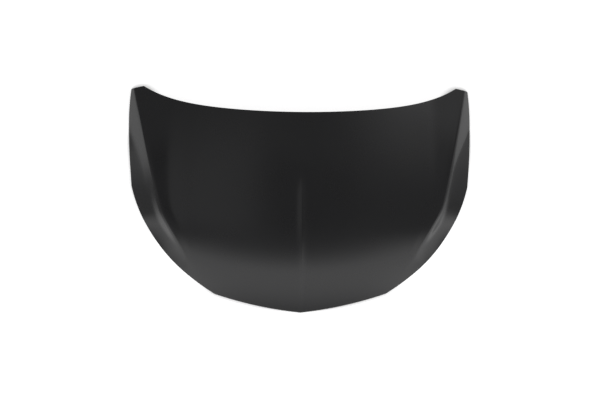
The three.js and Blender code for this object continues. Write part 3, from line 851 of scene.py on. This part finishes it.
# One mesh of upright prisms over closed plan outlines
def prismMesh(name, outlines):
    low, high = -100, 200
    points, faces, count = [], [], 0
    for plan in outlines:
        size = len(plan)
        for z in (low, high):
            points.append(np.concatenate([plan, np.full((size, 1), z)], 1))
        bottom, top = list(range(count, count + size)), list(range(count + size, count + 2 * size))
        faces.append(bottom[::-1])
        faces.append(top)
        for k in range(size):
            after = (k + 1) % size
            faces.append([bottom[k], bottom[after], top[after], top[k]])
        count += 2 * size
    mesh = bpy.data.meshes.new(name)
    mesh.from_pydata(toFrame(np.concatenate(points)).tolist(), [], faces)
    return mesh


# Removes an object that carries modifiers and returns its finished mesh
def plain(source):
    depsgraph = bpy.context.evaluated_depsgraph_get()
    mesh = bpy.data.meshes.new_from_object(source.evaluated_get(depsgraph), depsgraph=depsgraph)
    name = source.name
    bpy.data.objects.remove(source)
    mesh.name = name
    return mesh


panelGrid, panelRings = makeInnerPanel(panelSizes)
print("inner panel shape worked out")

windowPlans, windowShares = [], []
for across in panelSizes["windowsAcross"]:
    for along in panelSizes["windowsAlong"]:
        s, v = windowOutline(across, along, panelSizes["windowCorner"])
        plan = fieldPlan(s, v)
        windowPlans += [plan, plan[::-1] * [-1, 1]]
        windowShares += [(s, v), (s[::-1], v[::-1])]
hingeX, hingeY = (hingePlate[0] + hingePlate[1])[:2] / 2
holePlans = [
    ringOutline(side * hingeX, hingeY + end * panelSizes["holePitch"] / 2, panelSizes["holeRadius"])
    for side in (-1, 1)
    for end in (-1, 1)
]
propX, propSetback, propRadius = panelSizes["propHole"]
holePlans.append(ringOutline(propX, noseY + propSetback, propRadius))

pressed = bpy.data.objects.new(
    "innerPanel",
    sheetMesh("innerPanel", toFrame(panelGrid), [toFrame(ring) for ring in panelRings]),
)
cutter = bpy.data.objects.new("windowCutter", prismMesh("windowCutter", windowPlans + holePlans))
for piece in (pressed, cutter):
    scene.collection.objects.link(piece)
wall = pressed.modifiers.new("wall", "SOLIDIFY")
wall.thickness = panelSizes["thickness"] * mm
wall.offset = -1
cut = pressed.modifiers.new("windows", "BOOLEAN")
cut.operation = "DIFFERENCE"
cut.solver = "MANIFOLD"
cut.object = cutter
panelMesh = plain(pressed)
bpy.data.objects.remove(cutter)
panelMesh.set_sharp_from_angle(angle=math.radians(panelSizes["sharpAngle"]))
panel = addPiece("innerPanel", panelMesh, eCoatInner, ["inner_panel"])
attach(panel, "root")
print("inner panel made", len(panelMesh.polygons))


# A Geometry Nodes tree with a mesh input and named lengths, and the helpers to use it
class Tree:
    def __init__(self, name, lengths):
        self.group = bpy.data.node_groups.new(name, "GeometryNodeTree")
        face = self.group.interface
        face.new_socket("Geometry", in_out="INPUT", socket_type="NodeSocketGeometry")
        self.sockets = {}
        for label in lengths:
            socket = face.new_socket(label, in_out="INPUT", socket_type="NodeSocketFloat")
            self.sockets[label] = socket.identifier
        face.new_socket("Geometry", in_out="OUTPUT", socket_type="NodeSocketGeometry")
        self.source = self.add("NodeGroupInput")
        self.lengths = lengths

    def add(self, kind, values=None):
        return addNode(self.group, kind, values)

    # Ends the tree, runs it on points or edges in millimetres and returns the plain mesh
    def run(self, geometry, material, points, edges=()):
        whole = self.add("GeometryNodeRealizeInstances", {"Geometry": geometry})
        painted = self.add(
            "GeometryNodeSetMaterial", {"Geometry": whole.outputs[0], "Material": material}
        )
        self.add("NodeGroupOutput", {0: painted.outputs[0]})
        base = bpy.data.meshes.new(self.group.name)
        base.from_pydata(toFrame(points).tolist(), list(edges), [])
        holder = bpy.data.objects.new(self.group.name, base)
        scene.collection.objects.link(holder)
        modifier = holder.modifiers.new("shape", "NODES")
        modifier.node_group = self.group
        for label, length in self.lengths.items():
            modifier[self.sockets[label]] = float(length)
        return plain(holder)


# Plain mesh of a round tube, in millimetres, swept along edges
def tubeMesh(name, radius, sides, material, points, edges, capped=False):
    tree = Tree(name, {"Radius": radius * mm})
    curve = tree.add("GeometryNodeMeshToCurve", {"Mesh": tree.source.outputs["Geometry"]})
    section = tree.add(
        "GeometryNodeCurvePrimitiveCircle",
        {"Resolution": sides, "Radius": tree.source.outputs["Radius"]},
    )
    tube = tree.add(
        "GeometryNodeCurveToMesh",
        {"Curve": curve.outputs[0], "Profile Curve": section.outputs[0], "Fill Caps": capped},
    )
    mesh = tree.run(tube.outputs[0], material, points, edges)
    mesh.shade_smooth()
    return mesh


# Rolled rims of the windows, swept round each cut edge
rimPoints, rimEdges = [], []
depth = panelSizes["flangeOffset"] + panelSizes["thickness"] / 2
for plan, (s, v) in zip(windowPlans, windowShares):
    start, size = sum(map(len, rimPoints)), len(plan)
    rimPoints.append(underSkin(plan, depth, ribDrop(s, v)))
    rimEdges += [(start + k, start + (k + 1) % size) for k in range(size)]
rimMesh = tubeMesh(
    "windowRims",
    panelSizes["rimRadius"],
    panelSizes["rimSides"],
    eCoatInner,
    np.concatenate(rimPoints),
    rimEdges,
)
rims = addPiece("windowRims", rimMesh, eCoatInner, ["inner_panel"])
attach(rims, "root")
print("window rims made", len(rimMesh.polygons))

# Spot welds under the seats, as low round dimples
weldSizes = {
    "radius": 2.6,
    "height": 0.16,
    "segments": 20,
    "rings": 10,
    "hingeAcross": 9,
    "hingeAlong": 26,
    "latchAcross": 36,
    "latchAlong": 4.5,
}
weldTree = Tree(
    "spotWelds", {"Radius": weldSizes["radius"] * mm, "Height": weldSizes["height"] * mm}
)
weldBall = weldTree.add(
    "GeometryNodeMeshUVSphere",
    {"Segments": weldSizes["segments"], "Rings": weldSizes["rings"], "Radius": 1.0},
)
weldScale = weldTree.add(
    "ShaderNodeCombineXYZ",
    {
        "X": weldTree.source.outputs["Radius"],
        "Y": weldTree.source.outputs["Radius"],
        "Z": weldTree.source.outputs["Height"],
    },
)
weldSpots = weldTree.add(
    "GeometryNodeInstanceOnPoints",
    {
        "Points": weldTree.source.outputs["Geometry"],
        "Instance": weldBall.outputs[0],
        "Scale": weldScale.outputs[0],
    },
)
seatDrop = skinSizes["gap"] + panelSizes["thickness"]
hingeUnder, latchUnder = hingePlate[0][2] - seatDrop, latchPlate[0][2] - seatDrop
latchY = (latchPlate[0][1] + latchPlate[1][1]) / 2
weldPoints = [
    (side * (hingeX + across), hingeY + along, hingeUnder)
    for side in (-1, 1)
    for across in (-weldSizes["hingeAcross"], weldSizes["hingeAcross"])
    for along in (-weldSizes["hingeAlong"], 0, weldSizes["hingeAlong"])
] + [
    (side * weldSizes["latchAcross"], latchY + along, latchUnder)
    for side in (-1, 1)
    for along in (-weldSizes["latchAlong"], weldSizes["latchAlong"])
]
weldMesh = weldTree.run(weldSpots.outputs[0], eCoatInner, np.array(weldPoints))
weldMesh.shade_smooth()
welds = addPiece("spotWelds", weldMesh, eCoatInner, ["inner_panel"])
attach(welds, "root")
print("spot welds made")

# Striker: plate with broken edges, a smooth bent rod and the weld beads round its legs
strikerSizes = {
    "plateEdge": 0.6,
    "plateEdgeSegments": 3,
    "plateEdgeAngle": 40,
    "sharpAngle": 50,
    "rodRadius": 4.0,
    "rodShare": 0.985,  # of the radius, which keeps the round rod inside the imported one's box
    "rodBend": 9.0,
    "rodSides": 20,
    "bendPoints": 14,
    "legPoints": 8,
    "weldRadius": 1.5,
    "weldSides": 12,
    "weldRipple": 0.25,
    "weldRipples": 14,
    "weldPoints": 60,
}
rodRadius = strikerSizes["rodRadius"]
partsLook = {
    **outerLook,
    "roughness": 0.36,
    "dark": (0.0105, 0.0105, 0.0112),
    "pale": (0.0150, 0.0150, 0.0158),
    "peelScale": 900,
}
eCoatParts = eCoatMaterial("eCoatParts", partsLook)


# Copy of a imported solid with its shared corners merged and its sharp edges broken
def bevelled(name, width):
    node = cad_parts[name]
    mesh = node.data.copy()
    mesh.transform(node.matrix_world)
    shape = bmesh.new()
    shape.from_mesh(mesh)
    bmesh.ops.remove_doubles(shape, verts=shape.verts, dist=1e-6)
    bmesh.ops.dissolve_limit(
        shape, angle_limit=math.radians(1), verts=shape.verts, edges=shape.edges
    )
    shape.to_mesh(mesh)
    shape.free()
    source = bpy.data.objects.new(name + "Fine", mesh)
    scene.collection.objects.link(source)
    edge = source.modifiers.new("edge", "BEVEL")
    edge.width = width * mm
    edge.segments = strikerSizes["plateEdgeSegments"]
    edge.limit_method = "ANGLE"
    edge.angle_limit = math.radians(strikerSizes["plateEdgeAngle"])
    edge.harden_normals = True
    result = plain(source)
    result.shade_smooth()
    result.set_sharp_from_angle(angle=math.radians(strikerSizes["sharpAngle"]))
    return result


strikerPlate = addPiece(
    "strikerPlate",
    bevelled("striker_plate", strikerSizes["plateEdge"]),
    eCoatParts,
    ["striker_plate"],
)
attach(strikerPlate, "root")

rodLow, rodHigh = [fromFrame(corner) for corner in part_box("striker_loop")]


# Middle of the rod, down its front leg, under the plate and up its rear leg
def rodPath():
    bottom, front, rear = rodLow[2] + rodRadius, rodLow[1] + rodRadius, rodHigh[1] - rodRadius
    bend = strikerSizes["rodBend"]
    turn = np.linspace(0, math.pi / 2, strikerSizes["bendPoints"])
    first = np.stack([front + bend * (1 - np.cos(turn)), bottom + bend * (1 - np.sin(turn))], -1)
    second = np.stack([rear - bend * (1 - np.sin(turn)), bottom + bend * (1 - np.cos(turn))], -1)
    legs = np.linspace(rodHigh[2], bottom + bend, strikerSizes["legPoints"])[:-1]
    down = np.stack([np.full(len(legs), front), legs], -1)
    up = np.stack([np.full(len(legs), rear), legs[::-1]], -1)
    path = np.concatenate([down, first, second, up])
    return np.concatenate([np.zeros((len(path), 1)), path], 1)


rodPoints = rodPath()
rodMesh = tubeMesh(
    "strikerRod",
    rodRadius * strikerSizes["rodShare"],
    strikerSizes["rodSides"],
    eCoatParts,
    rodPoints,
    [(k, k + 1) for k in range(len(rodPoints) - 1)],
    capped=True,
)
rodMesh.set_sharp_from_angle(angle=math.radians(strikerSizes["sharpAngle"]))
rod = addPiece("strikerLoop", rodMesh, eCoatParts, ["striker_loop"])
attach(rod, "root")


# Rippled bead of weld round each leg of the rod, under the plate
def weldRings():
    under = fromFrame(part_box("striker_plate")[0])[2]
    turn = fullTurn(strikerSizes["weldPoints"])
    reach = rodRadius + strikerSizes["weldRipple"] * np.sin(strikerSizes["weldRipples"] * turn)
    level = np.full(len(turn), under)
    return [
        np.stack([reach * np.cos(turn), y + reach * np.sin(turn), level], -1)
        for y in (rodPoints[0, 1], rodPoints[-1, 1])
    ]


ringSize = strikerSizes["weldPoints"]
beadMesh = tubeMesh(
    "weldBeads",
    strikerSizes["weldRadius"],
    strikerSizes["weldSides"],
    eCoatParts,
    np.concatenate(weldRings()),
    [(start + k, start + (k + 1) % ringSize) for start in (0, ringSize) for k in range(ringSize)],
)
weldBeads = addPiece("weldBeads", beadMesh, eCoatParts, ["striker_loop"])
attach(weldBeads, "root")
print("striker made")


# Grainy dark grey paste of the mastic beads
masticLook = {
    "dark": (0.036, 0.036, 0.037),
    "pale": (0.052, 0.052, 0.053),
    "grainScale": 160,
    "grainDetail": 2,
    "grainStrength": 0.4,
    "grainHeight": 0.0003,
    "roughness": 0.85,
}


def masticMaterial(look):
    material, tree, shader = newMaterial("mastic")
    grain = noise(tree, look["grainScale"], look["grainDetail"])
    setInputs(tree, shader, {
        "Base Color": tint(tree, grain, look),
        "Roughness": look["roughness"],
        "Normal": bump(tree, grain, look["grainStrength"], look["grainHeight"]),
    })
    return material


mastic = masticMaterial(masticLook)

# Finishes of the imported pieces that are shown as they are
for name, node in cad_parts.items():
    if name.startswith("mastic"):
        node.data.materials.clear()
        node.data.materials.append(mastic)
    elif name not in ("outer_skin", "inner_panel", "striker_plate", "striker_loop"):
        node.data.materials.clear()
        node.data.materials.append(eCoatParts)

# Floor and light
studio = {
    "floorSize": 40,
    "floorColour": 0.8,
    "floorGlow": 0.8,  # what the paper adds where the camera or a reflection sees it
    # Painted contact shadow on the paper, from ambient occlusion: its reach, power and samples
    "paintedShadowReach": 0.04,  # how far from the bonnet the paper darkens
    "paintedShadowPower": 2.0,
    "paintedShadowSamples": 8,
    "sky": 0.17,
}

# Soft boxes and dark flags all round, by the direction in which they stand. "side" is a compass
# bearing in degrees, 0 to the right and -90 past the nose, with its full and faded half "spread".
# "rise" and "fall" are degrees down from straight above between which it fades in and out.
# "across" and "along" are four marks on the direction's X and Y: none, full, full, none.
softLights = [
    {"rise": (1, 16), "strength": 0.06},
    {"side": -86, "spread": (36, 56), "rise": (12, 41), "strength": 0.99},
    {"side": -85, "spread": (58, 69), "rise": (27, 68), "strength": 0.46},
    {"side": -88, "spread": (1, 31), "rise": (35, 83), "strength": -1.27},
    {"side": -145, "spread": (2, 18), "rise": (41, 48), "strength": 0.85},
    {"side": -29, "spread": (1, 18), "rise": (47, 51), "strength": 0.89},
    {"side": -150, "spread": (11, 23), "rise": (73, 89), "strength": 1.0},
    {"side": -28, "spread": (11, 22), "rise": (76, 93), "strength": 1.07},
    {"across": (-0.325, -0.285, -0.135, -0.02), "along": (-0.4, -0.01, 0.03, 0.6), "strength": 0.22},
    {"across": (-0.417, -0.355, -0.35, -0.27), "along": (-0.27, -0.1, 0.19, 0.43), "strength": -0.14},
    {"across": (0.11, 0.36, 0.37, 0.47), "along": (0.0, 0.43, 0.8, 0.9), "strength": 0.43},
    {"side": 58, "spread": (11, 43), "rise": (29, 41), "fall": (61, 82), "strength": 0.34},
    {"side": -166, "spread": (14, 30), "rise": (27, 35), "strength": 0.17},
    {"side": 174, "spread": (1, 12), "rise": (61, 75), "strength": 0.99},
    {"side": 28, "spread": (9, 46), "rise": (65, 72), "strength": 0.53},
]


def addFloor(sizes):
    half = sizes["floorSize"] / 2
    mesh = bpy.data.meshes.new("floor")
    mesh.from_pydata(
        [(-half, -half, 0), (half, -half, 0), (half, half, 0), (-half, half, 0)], [], [(0, 1, 2, 3)]
    )
    floor = bpy.data.objects.new("floor", mesh)
    scene.collection.objects.link(floor)
    mesh.materials.append(paperMaterial(sizes))


# White paper that glows where it is seen, with a contact shadow painted into its colour and its glow
# where the bonnet nearly touches it
def paperMaterial(sizes):
    material, tree, shader = newMaterial("floorPaper")
    near = addNode(
        tree,
        "ShaderNodeAmbientOcclusion",
        {"Distance": sizes["paintedShadowReach"]},
        samples=sizes["paintedShadowSamples"],
    )
    # Painted contact shadow: the squared occlusion darkens the paper's colour and its glow next to
    # the bonnet
    paintedShadow = maths(tree, "POWER", near.outputs["AO"], sizes["paintedShadowPower"])
    setInputs(tree, shader, {
        "Base Color": maths(tree, "MULTIPLY", paintedShadow, sizes["floorColour"]),
        "Roughness": 1,
        "Specular IOR Level": 0,
    })
    shown = maths(tree, "MULTIPLY", seenShare(tree), sizes["floorGlow"])
    strength = maths(tree, "MULTIPLY", paintedShadow, shown)
    glow = addNode(tree, "ShaderNodeEmission", {"Strength": strength})
    both = addNode(tree, "ShaderNodeAddShader", {0: shader.outputs[0], 1: glow.outputs[0]})
    setInputs(tree, tree.nodes["Material Output"], {"Surface": both.outputs[0]})
    return material


# 1 for the rays that see the background, and 0 for those that light the bonnet
def seenShare(tree):
    path = addNode(tree, "ShaderNodeLightPath")
    total = path.outputs["Is Camera Ray"]
    for ray in ("Is Glossy Ray", "Is Transmission Ray"):
        total = maths(tree, "MAXIMUM", total, path.outputs[ray])
    return total


# Smooth step from 0 at start to 1 at end
def fade(tree, value, start, end):
    values = {"Value": value, "From Min": start, "From Max": end}
    step = addNode(tree, "ShaderNodeMapRange", values, interpolation_type="SMOOTHSTEP")
    return step.outputs["Result"]


def cosine(degrees):
    return math.cos(math.radians(degrees))


# 1 between the two middle marks and 0 outside the outer two
def window(tree, value, marks):
    none, full, fullEnd, noneEnd = marks
    rising = fade(tree, value, none, full)
    falling = fade(tree, maths(tree, "MULTIPLY", value, -1.0), -noneEnd, -fullEnd)
    return maths(tree, "MULTIPLY", rising, falling)


# Adds one soft light's strength to the total, as the product of its windows
def addSoftLight(tree, light, direction, total):
    shares = []
    if "side" in light:
        side = (cosine(light["side"]), cosine(light["side"] - 90), 0)
        values = {0: direction["level"], 1: side}
        towards = addNode(tree, "ShaderNodeVectorMath", values, operation="DOT_PRODUCT")
        full, faded = light["spread"]
        shares.append(fade(tree, towards.outputs["Value"], cosine(faded), cosine(full)))
    if "rise" in light:
        start, end = light["rise"]
        down = maths(tree, "MULTIPLY", direction["z"], -1.0)
        shares.append(fade(tree, down, -cosine(start), -cosine(end)))
    if "fall" in light:
        start, end = light["fall"]
        shares.append(fade(tree, direction["z"], cosine(end), cosine(start)))
    for key, axis in (("across", "x"), ("along", "y")):
        if key in light:
            shares.append(window(tree, direction[axis], light[key]))
    share = shares[0]
    for other in shares[1:]:
        share = maths(tree, "MULTIPLY", share, other)
    return maths(tree, "MULTIPLY_ADD", share, light["strength"], total)


# Plain white for the camera, and the soft lights for every other ray
def addWorld(sizes, lights):
    world = bpy.data.worlds.new("studio")
    scene.world = world
    world.use_nodes = True
    tree = world.node_tree
    place = addNode(tree, "ShaderNodeTexCoord").outputs["Generated"]
    split = addNode(tree, "ShaderNodeSeparateXYZ", {"Vector": place})
    flat = addNode(tree, "ShaderNodeVectorMath", {0: place, 1: (1, 1, 0)}, operation="MULTIPLY")
    level = addNode(tree, "ShaderNodeVectorMath", {0: flat.outputs[0]}, operation="NORMALIZE")
    direction = {
        "level": level.outputs["Vector"],
        "x": split.outputs["X"],
        "y": split.outputs["Y"],
        "z": split.outputs["Z"],
    }
    total = sizes["sky"]
    for light in lights:
        total = addSoftLight(tree, light, direction, total)
    camera = addNode(tree, "ShaderNodeLightPath").outputs["Is Camera Ray"]
    shown = addNode(tree, "ShaderNodeMix", {0: camera, 2: total, 3: 1.0}, data_type="FLOAT")
    background = tree.nodes["Background"]
    setInputs(tree, background, {"Color": (1, 1, 1, 1), "Strength": shown.outputs[0]})


addFloor(studio)
addWorld(studio, softLights)
scene.view_settings.view_transform = "Standard"

print("scene done")
